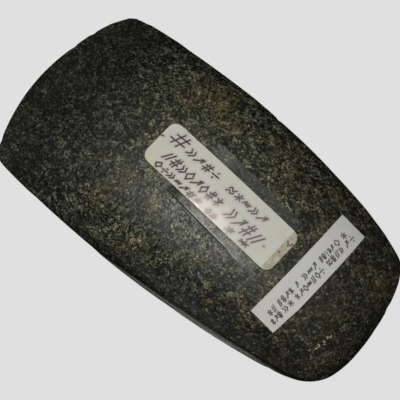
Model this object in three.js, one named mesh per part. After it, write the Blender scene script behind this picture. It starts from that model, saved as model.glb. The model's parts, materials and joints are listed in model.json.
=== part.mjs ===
// A polished stone axe lying on one face, with two paper labels stuck on the other face.
// Millimetres. The cutting edge, called the bit, points to -X and the blunt end, the poll, to +X.
// The labelled face looks up, to +Z, and the lowest point is at Z = 0.
import * as THREE from 'three';

// The stone, seen from above: one arc for each end and each side.
const axeLength = 112.3;
const axeWidth = 58.2;
const bitArcRadius = 53.4;
const bitArcOffset = -4.1;
const pollArcRadius = 50.9;
const pollArcOffset = -4.3;
const leftSideArcRadius = 227.5;
const leftSideWidestAt = -16;
const rightSideArcRadius = 303;
const rightSideWidestAt = -9.5;
const bitLeftCorner = 1;
const bitRightCorner = 4.8;
const pollLeftCorner = 5.8;
const pollRightCorner = 13.1;

// The stone, seen from the side: each face swells from the edges to its crown. A crown exponent bends
// the middle of a swell, and an edge exponent bends its start at the edge.
const upperCrown = 14.5;
const lowerCrown = 12.5;
const restingFlatDepth = 0.35;
const bitTaperLength = 60;
const bitCrownExponent = 2.2;
const bitEdgeExponent = 1.15;
const bitBluntness = 0.25;
const pollTaperLength = 50;
const pollCrownExponent = 2.4;
const pollEdgeExponent = 2.2;
const pollBluntness = 0.5;
const sideCrownExponent = 2.6;
const sideEdgeExponent = 2;
const sideBluntness = 0.06;

// The band ground flat along each side. The right-hand one leans in towards the upper face.
const groundBandDepth = 1.3;
const groundBandLength = 60;
const groundBandAt = 22;
const rightBandLeanWidth = 0.8;

// The hand-written paper label, and the clear tape over it.
const writtenLabelLength = 45.1;
const writtenLabelWidth = 13.2;
const writtenLabelCorner = 2.4;
const writtenLabelFromBit = 58.45;
const writtenLabelAside = 1;
const writtenLabelTurnDegrees = -5.2;
const tapeWidth = 19;
const tapeAside = 0.35;
const tapeTurnDegrees = -1.8;
const tapeShortAtBitEnd = 1.2;
const tapeShortAtPollEnd = 2.4;
const tapeThickness = 0.12;

// The printed paper label, which lies across the axe past the written label's end.
const printedLabelLength = 36.2;
const printedLabelWidth = 9;
const printedLabelCorner = 0.3;
const printedLabelAside = 1.43;
const printedLabelTurnDegrees = 89.9;
const labelGap = 3.61;

// Both labels.
const paperThickness = 0.15;
const glueThickness = 0.1;

// Fineness of the faceted surfaces.
const outlineStep = 4.2;
const faceRings = 14;
const cornerSteps = 4;
const sheetStep = 2.6;
const walkingStep = 0.5;
const slopeProbe = 0.05;

const halfLength = axeLength / 2;
const halfWidth = axeWidth / 2;

// The arcs of the outline. An arc's centre lies inward of its outermost point by its radius.
function outlineArc(outermost, inward, radius) {
  return { inward, radius, centre: outermost.clone().addScaledVector(inward, radius) };
}
const bitArc = outlineArc(
  new THREE.Vector2(-halfLength, bitArcOffset), new THREE.Vector2(1, 0), bitArcRadius);
const rightSideArc = outlineArc(
  new THREE.Vector2(rightSideWidestAt, -halfWidth), new THREE.Vector2(0, 1), rightSideArcRadius);
const pollArc = outlineArc(
  new THREE.Vector2(halfLength, pollArcOffset), new THREE.Vector2(-1, 0), pollArcRadius);
const leftSideArc = outlineArc(
  new THREE.Vector2(leftSideWidestAt, halfWidth), new THREE.Vector2(0, -1), leftSideArcRadius);

// The centre of a corner arc that touches two arcs from inside, on the side of the point nearby.
function cornerCentre(first, second, cornerRadius, nearby) {
  const a = first.radius - cornerRadius;
  const b = second.radius - cornerRadius;
  const between = second.centre.clone().sub(first.centre);
  const gap = between.length();
  const along = (a * a - b * b + gap * gap) / (2 * gap);
  const aside = Math.sqrt(a * a - along * along);
  const direction = between.normalize();
  const foot = first.centre.clone().addScaledVector(direction, along);
  const normal = new THREE.Vector2(-direction.y, direction.x);
  const candidates = [aside, -aside].map((step) => foot.clone().addScaledVector(normal, step));
  return candidates.sort((p, q) => p.distanceTo(nearby) - q.distanceTo(nearby))[0];
}

// The whole outline, anticlockwise from the bit's left corner.
function axeOutline() {
  const arcs = [bitArc, rightSideArc, pollArc, leftSideArc];
  const corners = [
    { radius: bitRightCorner, nearby: new THREE.Vector2(-halfLength, -halfWidth) },
    { radius: pollRightCorner, nearby: new THREE.Vector2(halfLength, -halfWidth) },
    { radius: pollLeftCorner, nearby: new THREE.Vector2(halfLength, halfWidth) },
    { radius: bitLeftCorner, nearby: new THREE.Vector2(-halfLength, halfWidth) },
  ];
  corners.forEach((corner, i) => {
    const next = arcs[(i + 1) % arcs.length];
    corner.centre = cornerCentre(arcs[i], next, corner.radius, corner.nearby);
    corner.starts = corner.centre.clone().sub(arcs[i].centre).angle();
    corner.ends = corner.centre.clone().sub(next.centre).angle();
  });
  const path = new THREE.Path();
  arcs.forEach((arc, i) => {
    const before = corners[(i + corners.length - 1) % corners.length];
    const after = corners[i];
    path.absarc(arc.centre.x, arc.centre.y, arc.radius, before.ends, after.starts, false);
    path.absarc(after.centre.x, after.centre.y, after.radius, after.starts, after.ends, false);
  });
  return path.curves.flatMap((curve) => {
    const steps = Math.max(cornerSteps, Math.ceil(curve.getLength() / outlineStep));
    return curve.getSpacedPoints(steps).slice(0, steps);
  });
}

// How far a point lies inside an arc of the outline, measured along the arc's own middle line.
function depthInside(arc, point) {
  const fromCentre = point.clone().sub(arc.centre);
  const aside = fromCentre.cross(arc.inward);
  return Math.max(0, fromCentre.dot(arc.inward) + Math.sqrt(arc.radius ** 2 - aside ** 2));
}

// A rise from 0 at an edge to 1 at the reach.
function swell(depth, reach, crownExponent, edgeExponent) {
  const left = 1 - Math.min(depth / reach, 1);
  return (1 - left ** crownExponent) ** (1 / edgeExponent);
}

// The share of the ground band's full depth at a place along the axe, fading past the band's two ends.
function grinding(x) {
  const away = (x - groundBandAt) / (groundBandLength / 2);
  return Math.exp(-(away ** 4));
}

// The share of the crown's height that the stone has above or below a point of the outline's plane.
function fullnessAt(point) {
  const ground = sideBluntness + groundBandDepth * grinding(point.x);
  const sides = [leftSideArc, rightSideArc].map(
    (arc) => swell(depthInside(arc, point) + ground, halfWidth, sideCrownExponent, sideEdgeExponent));
  const bitDepth = depthInside(bitArc, point) + bitBluntness;
  const pollDepth = depthInside(pollArc, point) + pollBluntness;
  return sides[0] * sides[1]
    * swell(bitDepth, bitTaperLength, bitCrownExponent, bitEdgeExponent)
    * swell(pollDepth, pollTaperLength, pollCrownExponent, pollEdgeExponent);
}

const edgeHeight = lowerCrown - restingFlatDepth;
function upperHeight(point) {
  return edgeHeight + upperCrown * fullnessAt(point);
}
function lowerHeight(point) {
  return Math.max(0, edgeHeight - lowerCrown * fullnessAt(point));
}

// The upper face's edge, which the leaning band brings in from the outline on the right-hand side.
function upperEdge(point) {
  const lean = point.y < 0 ? rightBandLeanWidth * grinding(point.x) : 0;
  return new THREE.Vector2(point.x, point.y + lean);
}

// Gathers points and faces, and gives a geometry with flat-sided triangles.
class Shell {
  constructor() {
    this.points = [];
    this.faces = [];
  }

  addPoint(point) {
    this.points.push(point.x, point.y, point.z);
    return this.points.length / 3 - 1;
  }

  addTriangle(a, b, c) {
    this.faces.push(a, b, c);
  }

  addQuad(a, b, c, d) {
    this.faces.push(a, b, c, a, c, d);
  }

  geometry() {
    const geometry = new THREE.BufferGeometry();
    geometry.setAttribute('position', new THREE.Float32BufferAttribute(this.points, 3));
    geometry.setIndex(this.faces);
    geometry.computeVertexNormals();
    return geometry;
  }
}

// The stone: rings of points from the middle out to the outline on both faces, joined at the rim.
function stoneGeometry() {
  const outline = axeOutline();
  const shell = new Shell();
  const count = outline.length;

  function face(edges, heightAt) {
    const middle = new THREE.Vector2(0, 0);
    const centre = shell.addPoint(new THREE.Vector3(0, 0, heightAt(middle)));
    const rings = [];
    for (let ring = 1; ring <= faceRings; ring++) {
      const reach = Math.sin((ring / faceRings) * (Math.PI / 2));
      rings.push(edges.map((edge) => {
        const point = edge.clone().multiplyScalar(reach);
        return shell.addPoint(new THREE.Vector3(point.x, point.y, heightAt(point)));
      }));
    }
    return { centre, rings };
  }

  function closeFace({ centre, rings }, upward) {
    for (let i = 0; i < count; i++) {
      const j = (i + 1) % count;
      const [first, second] = upward ? [i, j] : [j, i];
      shell.addTriangle(centre, rings[0][first], rings[0][second]);
      for (let ring = 1; ring < rings.length; ring++) {
        const inner = rings[ring - 1];
        const outer = rings[ring];
        shell.addQuad(inner[first], outer[first], outer[second], inner[second]);
      }
    }
  }

  const upper = face(outline.map(upperEdge), upperHeight);
  const lower = face(outline, lowerHeight);
  closeFace(upper, true);
  closeFace(lower, false);
  const upperRim = upper.rings.at(-1);
  const lowerRim = lower.rings.at(-1);
  for (let i = 0; i < count; i++) {
    const j = (i + 1) % count;
    shell.addQuad(lowerRim[i], lowerRim[j], upperRim[j], upperRim[i]);
  }
  return shell.geometry();
}

// The slope of the upper face along a plan direction.
function slopeAt(point, direction) {
  const ahead = point.clone().addScaledVector(direction, slopeProbe);
  const behind = point.clone().addScaledVector(direction, -slopeProbe);
  return (upperHeight(ahead) - upperHeight(behind)) / (2 * slopeProbe);
}

// The plan place reached by walking a distance over the upper face in a plan direction.
function walk(start, direction, distance) {
  const strides = Math.max(1, Math.ceil(Math.abs(distance) / walkingStep));
  const place = start.clone();
  for (let stride = 0; stride < strides; stride++) {
    const flatShare = 1 / Math.hypot(1, slopeAt(place, direction));
    place.addScaledVector(direction, (distance / strides) * flatShare);
  }
  return place;
}

// The point above the upper face at a plan place, lifted square to the face.
function liftedPoint(place, lift) {
  const normal = new THREE.Vector3(
    -slopeAt(place, new THREE.Vector2(1, 0)), -slopeAt(place, new THREE.Vector2(0, 1)), 1).normalize();
  return new THREE.Vector3(place.x, place.y, upperHeight(place)).addScaledVector(normal, lift);
}

// Where a flat sheet lies on the upper face: its middle, its turn, and the plan place of a point of it.
function sheetPlace(centre, turn) {
  const angle = THREE.MathUtils.degToRad(turn);
  const lengthways = new THREE.Vector2(Math.cos(angle), Math.sin(angle));
  const crossways = new THREE.Vector2(-lengthways.y, lengthways.x);
  return { turn, at: (flat) => walk(walk(centre, lengthways, flat.x), crossways, flat.y) };
}

// A thin sheet laid on the upper face. Its rows run straight across the flat sheet, each between two of
// its points, and a row's lift says how high above the face it lies.
function sheetGeometry({ place, rows, thickness }) {
  const longest = Math.max(...rows.map((row) => row.from.distanceTo(row.to)));
  const cells = Math.ceil(longest / sheetStep);
  const shell = new Shell();

  function layer(raise) {
    return rows.map((row) => {
      const line = [];
      for (let cell = 0; cell <= cells; cell++) {
        const flat = row.from.clone().lerp(row.to, cell / cells);
        line.push(shell.addPoint(liftedPoint(place.at(flat), row.lift + raise)));
      }
      return line;
    });
  }

  const under = layer(0);
  const over = layer(thickness);
  for (let row = 0; row + 1 < rows.length; row++) {
    for (let cell = 0; cell < cells; cell++) {
      shell.addQuad(over[row][cell], over[row][cell + 1], over[row + 1][cell + 1], over[row + 1][cell]);
      shell.addQuad(under[row][cell], under[row + 1][cell], under[row + 1][cell + 1], under[row][cell + 1]);
    }
    shell.addQuad(under[row][0], over[row][0], over[row + 1][0], under[row + 1][0]);
    shell.addQuad(under[row][cells], under[row + 1][cells], over[row + 1][cells], over[row][cells]);
  }
  const last = rows.length - 1;
  for (let cell = 0; cell < cells; cell++) {
    shell.addQuad(under[0][cell], under[0][cell + 1], over[0][cell + 1], over[0][cell]);
    shell.addQuad(under[last][cell], over[last][cell], over[last][cell + 1], under[last][cell + 1]);
  }
  return shell.geometry();
}

// The rows of a rectangle with rounded corners.
function labelRows(labelLength, labelWidth, corner) {
  const straight = labelWidth / 2 - corner;
  const rounded = [];
  for (let step = 0; step <= cornerSteps; step++) {
    const around = (step / cornerSteps) * (Math.PI / 2);
    rounded.push({
      aside: straight + corner * Math.sin(around),
      reach: labelLength / 2 - corner + corner * Math.cos(around),
    });
  }
  const middleRows = Math.ceil((2 * straight) / sheetStep);
  const middle = [];
  for (let row = 1; row < middleRows; row++) {
    middle.push({ aside: -straight + (2 * straight * row) / middleRows, reach: labelLength / 2 });
  }
  const mirrored = rounded.map(({ aside, reach }) => ({ aside: -aside, reach })).reverse();
  return [...mirrored, ...middle, ...rounded].map(({ aside, reach }) => ({
    from: new THREE.Vector2(-reach, aside),
    to: new THREE.Vector2(reach, aside),
    lift: glueThickness,
  }));
}

// The rows of the tape, on the written label's own flat sheet: the tape's two long edges on the stone,
// and rows between them over the paper and its glue.
const tapeClearance = writtenLabelWidth / 2 + glueThickness;
function tapeRows() {
  const ends = [-writtenLabelLength / 2 + tapeShortAtBitEnd, writtenLabelLength / 2 - tapeShortAtPollEnd];
  const skew = THREE.MathUtils.degToRad(tapeTurnDegrees);
  const edge = (side) => ends.map((along) => {
    const corner = new THREE.Vector2(along, (side * tapeWidth) / 2);
    return corner.rotateAround(new THREE.Vector2(0, 0), skew).add(new THREE.Vector2(0, tapeAside));
  });
  const [lowFrom, lowTo] = edge(-1);
  const [highFrom, highTo] = edge(1);
  const middleRows = Math.ceil((2 * tapeClearance) / sheetStep);
  const middle = [];
  for (let row = 0; row <= middleRows; row++) {
    const aside = THREE.MathUtils.lerp(-tapeClearance, tapeClearance, row / middleRows);
    const across = (low, high) => low.clone().lerp(high, (aside - low.y) / (high.y - low.y));
    const overPaper = 2 * glueThickness + paperThickness;
    middle.push({ from: across(lowFrom, highFrom), to: across(lowTo, highTo), lift: overPaper });
  }
  return [
    { from: lowFrom, to: lowTo, lift: glueThickness },
    ...middle,
    { from: highFrom, to: highTo, lift: glueThickness },
  ];
}

const writtenLabelPlace = sheetPlace(
  new THREE.Vector2(-halfLength + writtenLabelFromBit, writtenLabelAside), writtenLabelTurnDegrees);
const pastWrittenLabel = new THREE.Vector2(
  writtenLabelLength / 2 + labelGap + printedLabelWidth / 2, printedLabelAside);
const printedLabelPlace = sheetPlace(
  writtenLabelPlace.at(pastWrittenLabel), writtenLabelPlace.turn + printedLabelTurnDegrees);

function piece(name, geometry, finish) {
  const mesh = new THREE.Mesh(geometry, new THREE.MeshStandardMaterial(finish));
  mesh.name = name;
  return mesh;
}

const axe = new THREE.Group();
axe.add(piece('axe_stone', stoneGeometry(), { color: 0x37372f, roughness: 0.6, metalness: 0 }));
axe.add(piece(
  'written_label',
  sheetGeometry({
    place: writtenLabelPlace,
    rows: labelRows(writtenLabelLength, writtenLabelWidth, writtenLabelCorner),
    thickness: paperThickness,
  }),
  { color: 0xb5b5a7, roughness: 0.7, metalness: 0 },
));
axe.add(piece(
  'clear_tape',
  sheetGeometry({ place: writtenLabelPlace, rows: tapeRows(), thickness: tapeThickness }),
  { color: 0xd8d8d0, roughness: 0.25, metalness: 0, transparent: true, opacity: 0.25 },
));
axe.add(piece(
  'printed_label',
  sheetGeometry({
    place: printedLabelPlace,
    rows: labelRows(printedLabelLength, printedLabelWidth, printedLabelCorner),
    thickness: paperThickness,
  }),
  { color: 0xb5b4af, roughness: 0.75, metalness: 0 },
));

export default axe;
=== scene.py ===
"""A polished stone axe with two paper labels and a strip of clear tape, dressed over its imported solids.

Laid out as an add-on and run as a script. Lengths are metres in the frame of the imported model: the
cutting edge, called the bit, points to -X, the blunt poll to +X, and the labelled face looks up.
"""
import json
import math
import random

import bpy
import numpy as np
from mathutils import Matrix, Vector, kdtree, noise
from mathutils.bvhtree import BVHTree

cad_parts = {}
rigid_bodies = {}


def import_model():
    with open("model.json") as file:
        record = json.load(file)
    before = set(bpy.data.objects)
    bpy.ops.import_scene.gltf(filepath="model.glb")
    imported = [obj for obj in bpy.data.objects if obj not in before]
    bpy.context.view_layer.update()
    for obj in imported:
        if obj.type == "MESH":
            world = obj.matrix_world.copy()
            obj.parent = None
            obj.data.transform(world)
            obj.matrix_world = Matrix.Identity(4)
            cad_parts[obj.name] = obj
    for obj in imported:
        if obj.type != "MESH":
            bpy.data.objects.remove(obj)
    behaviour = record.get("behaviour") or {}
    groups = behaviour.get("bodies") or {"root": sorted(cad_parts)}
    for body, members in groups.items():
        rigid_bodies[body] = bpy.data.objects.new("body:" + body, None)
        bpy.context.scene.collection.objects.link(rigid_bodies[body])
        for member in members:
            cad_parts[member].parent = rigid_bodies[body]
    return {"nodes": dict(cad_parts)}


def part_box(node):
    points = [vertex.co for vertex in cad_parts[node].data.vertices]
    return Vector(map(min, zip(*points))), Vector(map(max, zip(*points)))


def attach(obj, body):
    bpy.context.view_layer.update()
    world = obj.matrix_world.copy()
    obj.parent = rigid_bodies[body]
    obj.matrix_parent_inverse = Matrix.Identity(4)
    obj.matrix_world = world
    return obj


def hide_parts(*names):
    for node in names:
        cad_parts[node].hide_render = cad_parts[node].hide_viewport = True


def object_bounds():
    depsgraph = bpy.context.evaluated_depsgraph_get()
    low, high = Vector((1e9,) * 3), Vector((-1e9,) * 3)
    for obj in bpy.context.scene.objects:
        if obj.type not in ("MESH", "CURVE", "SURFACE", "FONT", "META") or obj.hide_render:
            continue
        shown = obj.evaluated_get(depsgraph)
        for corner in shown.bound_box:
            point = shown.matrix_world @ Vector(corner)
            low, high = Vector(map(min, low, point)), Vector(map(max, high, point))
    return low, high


bl_info = {
    "name": "Polished Stone Axe",
    "version": (1, 0, 0),
    "blender": (4, 5, 0),
    "location": "View3D > Sidebar > Stone Axe",
    "description": "Dresses the packed solids of a labelled stone axe with their real surfaces",
    "category": "Object",
}

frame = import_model()
CAD_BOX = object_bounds()
STONE_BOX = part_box("axe_stone")
MM = 0.001

# The labels and the tape, as flat sheets. A sheet's length runs along X before it is turned, and its
# step is the size of one cell of its grid.
WRITTEN_LENGTH = 45.0 * MM
WRITTEN_WIDTH = 13.0 * MM
WRITTEN_CORNER = 2.4 * MM
WRITTEN_CENTRE = Vector((STONE_BOX[0].x + 58.62 * MM, 0.9 * MM))
WRITTEN_TURN = math.radians(-5.2)
WRITTEN_STEP = 0.16 * MM
TAPE_LENGTH = 41.5 * MM
TAPE_WIDTH = 19 * MM
TAPE_ALONG = -0.75 * MM
TAPE_ASIDE = 0.45 * MM
TAPE_TURN = math.radians(-1.8)
TAPE_THICKNESS = 0.12 * MM
TAPE_TENT = 0.7 * MM
TAPE_STEP = 0.3 * MM
PRINTED_LENGTH = 36.2 * MM
PRINTED_WIDTH = 9 * MM
PRINTED_OUTLINE = [
    # along, lower edge, upper edge, in millimetres from the label's centre
    (-17.85, -3.9, 4.4), (-13.3, -4.15, 4.25), (-9.2, -4.55, 4.15), (-4.4, -4.55, 4.08), (0, -4.55, 4.06),
    (4.4, -4.5, 4.1), (8.9, -4.43, 4.12), (13.3, -4.32, 4.26), (18.0, -4.1, 4.35),
]
PRINTED_CENTRE = Vector((STONE_BOX[1].x - 23.25 * MM, -0.35 * MM))
PRINTED_TURN = math.radians(84.7)
PRINTED_STEP = 0.12 * MM
PAPER_THICKNESS = 0.15 * MM
GLUE_THICKNESS = 0.1 * MM
WALKING_STEP = 1 * MM

# The camera looks down on the labelled face, tilted a little off square. Both lights shine at one
# place near the stone's top.
CAMERA_ROLL = math.radians(38.53)
CAMERA_TILT_BACK = math.radians(8)
CAMERA_TILT_ASIDE = math.radians(3)
CAMERA_DISTANCE = 0.6
CAMERA_AIM_HEIGHT = 12.5 * MM
PIXELS_PER_METRE = 3762
PICTURE_PIXELS = 400
AIM_RIGHT = -2.318 * MM
AIM_UP = 0.045 * MM
SENSOR = 36
LIT_PLACE = Vector((0, -5 * MM, 25 * MM))
KEY_DIRECTION = Vector((-0.09, -0.085, 1))
KEY_DISTANCE = 0.75
KEY_SIZE = 0.2
FILL_PLACE = Vector((0.05, -0.7, 0.05))
FILL_SIZE = 0.3
FLOOR_RADIUS = 2
WHITE = (1, 1, 1, 1)


def colour_setting(name, description, default):
    return bpy.props.FloatVectorProperty(
        name=name, description=description, subtype="COLOR", default=default)


class StoneLooks(bpy.types.PropertyGroup):
    """The stone's colours and surface."""

    grain: bpy.props.FloatProperty(
        name="Grain", description="Width of one mineral grain", default=0.52 * MM, unit="LENGTH")
    contrast: bpy.props.FloatProperty(
        name="Contrast", description="How far the grains differ in brightness", default=1.7)
    green: colour_setting("Green", "Colour of the dark green ground mass", (0.0193, 0.0205, 0.0096))
    blue: colour_setting("Blue", "Colour of the cooler grains", (0.0162, 0.0190, 0.0160))
    ochre: colour_setting("Ochre", "Colour of the weathered patches", (0.047, 0.0410, 0.0195))
    rust: colour_setting(
        "Rust", "Colour of the redder places in the weathered patches", (0.048, 0.0365, 0.021))
    brown: colour_setting(
        "Brown", "Colour of the browner ground towards the poll", (0.0205, 0.0178, 0.0112))
    pale: colour_setting("Pale", "Colour of the scattered pale grains", (0.13, 0.12, 0.085))
    roughness: bpy.props.FloatProperty(
        name="Roughness", description="Roughness of the worn polish", default=0.42, subtype="FACTOR")
    chip_depth: bpy.props.FloatProperty(
        name="Chip Depth", description="Depth of the chips in the edges", default=0.5 * MM, unit="LENGTH")
    wobble: bpy.props.FloatProperty(
        name="Edge Wobble", description="How far the edges wander in from their arcs",
        default=0.07 * MM, unit="LENGTH")
    relief: bpy.props.FloatProperty(
        name="Relief", description="Depth of the faint hollows left by grinding",
        default=0.06 * MM, unit="LENGTH")


class PaperLooks(bpy.types.PropertyGroup):
    """The colours of both labels and of what is marked on them."""

    aged: colour_setting("Aged Paper", "Colour of the written label", (0.485, 0.487, 0.465))
    plain: colour_setting("Plain Paper", "Colour of the printed label", (0.485, 0.483, 0.495))
    ink: colour_setting("Pen Ink", "Colour of the pen strokes", (0.012, 0.003, 0.009))
    print_ink: colour_setting("Printed Ink", "Colour of the printed marks", (0.035, 0.030, 0.032))
    stain: colour_setting(
        "Stain", "Colour of the bare, soiled end of the written label", (0.26, 0.235, 0.155))


class TapeLooks(bpy.types.PropertyGroup):
    """The clear tape's film."""

    # The whitish streaks on the film below the label, partly painted glare.
    haze_and_glare: bpy.props.FloatProperty(
        name="Haze", description="How milky the film is on the stone", default=0.16, subtype="FACTOR")
    edge: bpy.props.FloatProperty(
        name="Edge Line", description="Width of the dark line along the tape's lower edge",
        default=0.3 * MM, unit="LENGTH")


class StageLooks(bpy.types.PropertyGroup):
    """The floor and the lights."""

    floor_glow: bpy.props.FloatProperty(
        name="Floor Glow", description="Brightness of the pale floor", default=0.737)
    warmth: colour_setting("Warmth", "Colour of the soft light above", (1.0, 0.99, 0.90))
    key: bpy.props.FloatProperty(
        name="Key Light", description="Power of the soft light above", default=5.3, unit="POWER")
    fill: bpy.props.FloatProperty(
        name="Fill Light", description="Power of the low light on the near side", default=0.9, unit="POWER")
    surround: bpy.props.FloatProperty(
        name="Surround", description="Brightness of the room all round", default=0.04)


LOOKS = {"stone_looks": StoneLooks, "paper_looks": PaperLooks, "tape_looks": TapeLooks,
         "stage_looks": StageLooks}


class Graph:
    """A node tree that is filled in few words."""

    def __init__(self, tree):
        self.tree = tree

    def add(self, kind, inputs=None, **settings):
        node = self.tree.nodes.new(kind)
        for key, value in settings.items():
            setattr(node, key, value)
        for key, value in (inputs or {}).items():
            self.feed(node.inputs[key], value)
        return node

    def feed(self, socket, value):
        if isinstance(value, bpy.types.NodeSocket):
            self.tree.links.new(value, socket)
        else:
            socket.default_value = value

    def math(self, operation, first, second=0.0, clamp=False):
        node = self.add("ShaderNodeMath", {0: first, 1: second}, operation=operation, use_clamp=clamp)
        return node.outputs[0]

    def times(self, first, *others):
        for other in others:
            first = self.math("MULTIPLY", first, other)
        return first

    def plus(self, first, second):
        return self.math("ADD", first, second)

    def most(self, first, second):
        return self.math("MAXIMUM", first, second)

    def vector(self, operation, first, second):
        return self.add("ShaderNodeVectorMath", {0: first, 1: second}, operation=operation).outputs[0]

    def mix(self, factor, first, second, blend="MIX"):
        node = self.add("ShaderNodeMix", {0: factor, 6: first, 7: second},
                        data_type="RGBA", blend_type=blend)
        return node.outputs[2]

    def ramp(self, value, low, high, start=0.0, end=1.0, smooth=True):
        kind = "SMOOTHSTEP" if smooth else "LINEAR"
        node = self.add("ShaderNodeMapRange", {0: value, 1: low, 2: high, 3: start, 4: end},
                        interpolation_type=kind)
        return node.outputs[0]

    def noise(self, vector, size, detail=2.0, rough=0.5, distortion=0.0):
        return self.add("ShaderNodeTexNoise", {
            "Vector": vector, "Scale": 1 / size, "Detail": detail, "Roughness": rough,
            "Distortion": distortion}).outputs["Fac"]

    def stretched(self, vector, along):
        return self.add("ShaderNodeMapping", {"Vector": vector, "Scale": along}).outputs[0]

    def bump(self, height, strength, distance):
        return self.add("ShaderNodeBump", {
            "Strength": strength, "Distance": distance, "Height": height}).outputs[0]

    def attribute(self, name):
        return self.add("ShaderNodeAttribute", attribute_name=name).outputs["Fac"]

    def group(self, tree, **inputs):
        node = self.add("ShaderNodeGroup", node_tree=tree)
        for key, value in inputs.items():
            self.feed(node.inputs[key.replace("_", " ")], value)
        return node.outputs


def colour4(colour):
    return (*colour, 1.0)


def new_group(name, inputs, outputs):
    """A shader node group, with its graph, its inputs by name and its output sockets."""
    tree = bpy.data.node_groups.new(name, "ShaderNodeTree")
    for label, (kind, default) in inputs.items():
        socket = tree.interface.new_socket(label, in_out="INPUT", socket_type=kind)
        if default is not None:
            socket.default_value = default
    for label, kind in outputs.items():
        tree.interface.new_socket(label, in_out="OUTPUT", socket_type=kind)
    graph = Graph(tree)
    given = graph.add("NodeGroupInput").outputs
    result = graph.add("NodeGroupOutput").inputs
    return graph, given, result


def new_material(name):
    """A material with its graph, its Principled shader and its Object coordinates."""
    material = bpy.data.materials.new(name)
    material.use_nodes = True
    tree = material.node_tree
    tree.nodes.clear()
    graph = Graph(tree)
    shader = graph.add("ShaderNodeBsdfPrincipled")
    graph.add("ShaderNodeOutputMaterial", {"Surface": shader.outputs[0]})
    place = graph.add("ShaderNodeTexCoord").outputs["Object"]
    return material, graph, shader, place


FLOAT, VECTOR = "NodeSocketFloat", "NodeSocketVector"


def grain_group():
    """Interlocking grains: a brightness, a hue and a rarity for each, and the relief between them."""
    graph, given, result = new_group(
        "Grains", {"Vector": (VECTOR, None), "Size": (FLOAT, 0.5 * MM)},
        {"Brightness": FLOAT, "Hue": FLOAT, "Rarity": FLOAT, "Relief": FLOAT})
    scale = graph.math("DIVIDE", 1.0, given["Size"])
    wander = graph.add("ShaderNodeTexNoise", {"Vector": given["Vector"], "Scale": scale, "Detail": 1.0})
    shift = graph.vector("SUBTRACT", wander.outputs["Color"], (0.5, 0.5, 0.5))
    scaled = graph.add("ShaderNodeVectorMath", {0: shift, "Scale": given["Size"]}, operation="SCALE")
    bent = graph.vector("ADD", given["Vector"], scaled.outputs[0])
    cells = graph.add("ShaderNodeTexVoronoi", {"Vector": bent, "Scale": scale})
    channels = graph.add("ShaderNodeSeparateColor", {0: cells.outputs["Color"]})
    graph.feed(result["Brightness"], channels.outputs[0])
    graph.feed(result["Hue"], channels.outputs[1])
    graph.feed(result["Rarity"], channels.outputs[2])
    graph.feed(result["Relief"], cells.outputs["Distance"])
    return graph.tree


def soil_group():
    """Uneven handling dirt: cloudy patches, broken by finer specks."""
    graph, given, result = new_group(
        "Soiling", {"Vector": (VECTOR, None), "Size": (FLOAT, 6 * MM), "Amount": (FLOAT, 0.5)},
        {"Mask": FLOAT})
    scale = graph.math("DIVIDE", 1.0, given["Size"])
    cloud = graph.add("ShaderNodeTexNoise", {
        "Vector": given["Vector"], "Scale": scale, "Detail": 5.0, "Roughness": 0.62})
    low = graph.math("SUBTRACT", 0.85, given["Amount"])
    mask = graph.ramp(cloud.outputs["Fac"], low, graph.plus(low, 0.3))
    graph.feed(result["Mask"], mask)
    return graph.tree


def deselect():
    for o in bpy.context.view_layer.objects:
        o.select_set(False)


def make_active(obj):
    deselect()
    obj.select_set(True)
    bpy.context.view_layer.objects.active = obj


def copied_node(node, name):
    """A new piece that starts as a CAD node's mesh, with its loose triangles joined up."""
    obj = bpy.data.objects.new(name, frame["nodes"][node].data.copy())
    obj.data.name = name
    obj.data.materials.clear()
    bpy.context.scene.collection.objects.link(obj)
    make_active(obj)
    bpy.ops.object.mode_set(mode="EDIT")
    bpy.ops.mesh.customdata_custom_splitnormals_clear()
    bpy.ops.mesh.select_all(action="SELECT")
    bpy.ops.mesh.remove_doubles(threshold=0.005 * MM)
    bpy.ops.mesh.tris_convert_to_quads()
    bpy.ops.object.mode_set(mode="OBJECT")
    return obj


def rows_of(items, name):
    """A place or direction for each vertex or face of a mesh, as an array of rows."""
    flat = np.zeros(len(items) * 3)
    items.foreach_get(name, flat)
    return flat.reshape(-1, 3)


def points_of(mesh):
    return rows_of(mesh.vertices, "co")


def normals_of(mesh):
    return rows_of(mesh.vertices, "normal")


def move_points(mesh, points):
    mesh.vertices.foreach_set("co", points.ravel())
    mesh.update()


def paint(mesh, name, values):
    """Keeps a value for each vertex, which a material reads by its name."""
    attribute = mesh.attributes.get(name) or mesh.attributes.new(name, "FLOAT", "POINT")
    attribute.data.foreach_set("value", np.asarray(values, np.float32))


def smoothstep(low, high, value):
    share = np.clip((value - low) / (high - low), 0, 1)
    return share * share * (3 - 2 * share)


def wavy(points, size, seed):
    """Smooth noise of about -1 to 1 at each point, with features of about that size."""
    offset = Vector((seed, 2 * seed, 3 * seed))
    return np.array([noise.noise(Vector(p) / size + offset) for p in points])


def plan_distance(points, along, aside):
    """How far each point lies, seen from above, from a place on the stone in millimetres."""
    return np.linalg.norm(points[:, :2] - np.array([along, aside]) * MM, axis=1)


def subdivide_near(obj, table, reach, cuts):
    """Divides the upper faces near the places in a table, so that small shapes can be cut there."""
    make_active(obj)
    centres = rows_of(obj.data.polygons, "center")
    near = np.zeros(len(centres), bool)
    for along, aside, *_ in table:
        near |= plan_distance(centres, along, aside) < reach
    near &= centres[:, 2] > STONE_MIDDLE
    obj.data.polygons.foreach_set("select", near)
    obj.data.edges.foreach_set("select", np.zeros(len(obj.data.edges), bool))
    obj.data.vertices.foreach_set("select", np.zeros(len(obj.data.vertices), bool))
    bpy.ops.object.mode_set(mode="EDIT")
    bpy.ops.mesh.select_mode(type="FACE")
    bpy.ops.mesh.subdivide(number_cuts=cuts, smoothness=1)
    bpy.ops.object.mode_set(mode="OBJECT")


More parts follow.
